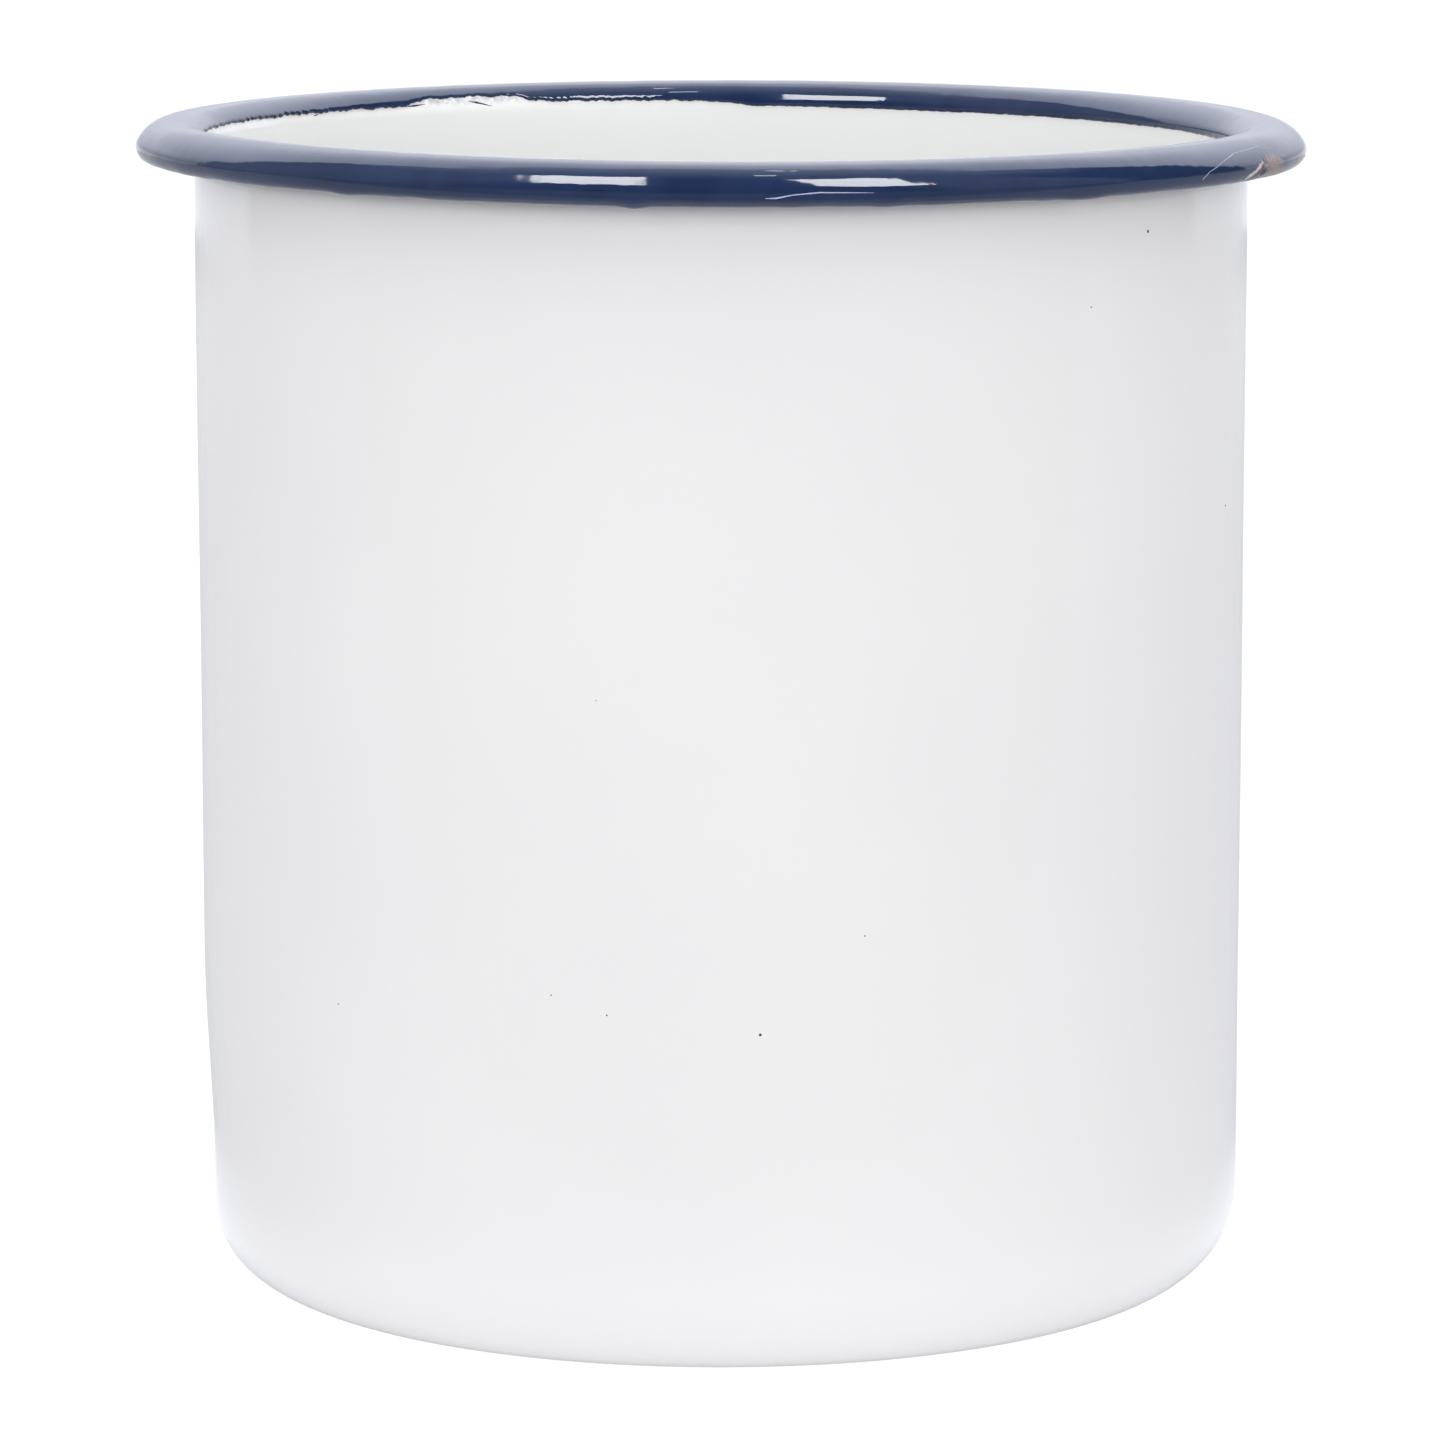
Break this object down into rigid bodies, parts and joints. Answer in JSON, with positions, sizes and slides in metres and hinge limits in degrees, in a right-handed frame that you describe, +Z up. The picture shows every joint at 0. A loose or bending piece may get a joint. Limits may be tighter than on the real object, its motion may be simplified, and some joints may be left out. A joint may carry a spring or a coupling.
{
  "type": "milk pail",
  "caption": "Open straight-sided enamelled steel pail with a rounded base corner and a navy rolled rim; no handle, lid or spout.",
  "frame": {"origin": "centre of the base, on the surface that the pail stands on", "axes": "+Z up the pail's axis, out of its mouth; the pail is round about it"},
  "size_m": [0.1394, 0.1394, 0.14],
  "materials": {
    "sheet_steel": "drawn sheet, hidden under the enamel",
    "ground_enamel": "dark ground coat",
    "white_enamel": "glossy white vitreous enamel",
    "navy_enamel": "glossy navy vitreous enamel"
  },
  "bodies": {
    "root": {"steel_shell": "sheet_steel", "ground_enamel_inside": "ground_enamel", "ground_enamel_outside": "ground_enamel", "white_enamel_inside": "white_enamel", "white_enamel_outside": "white_enamel", "navy_rim_enamel": "navy_enamel"}
  },
  "joints": []
}
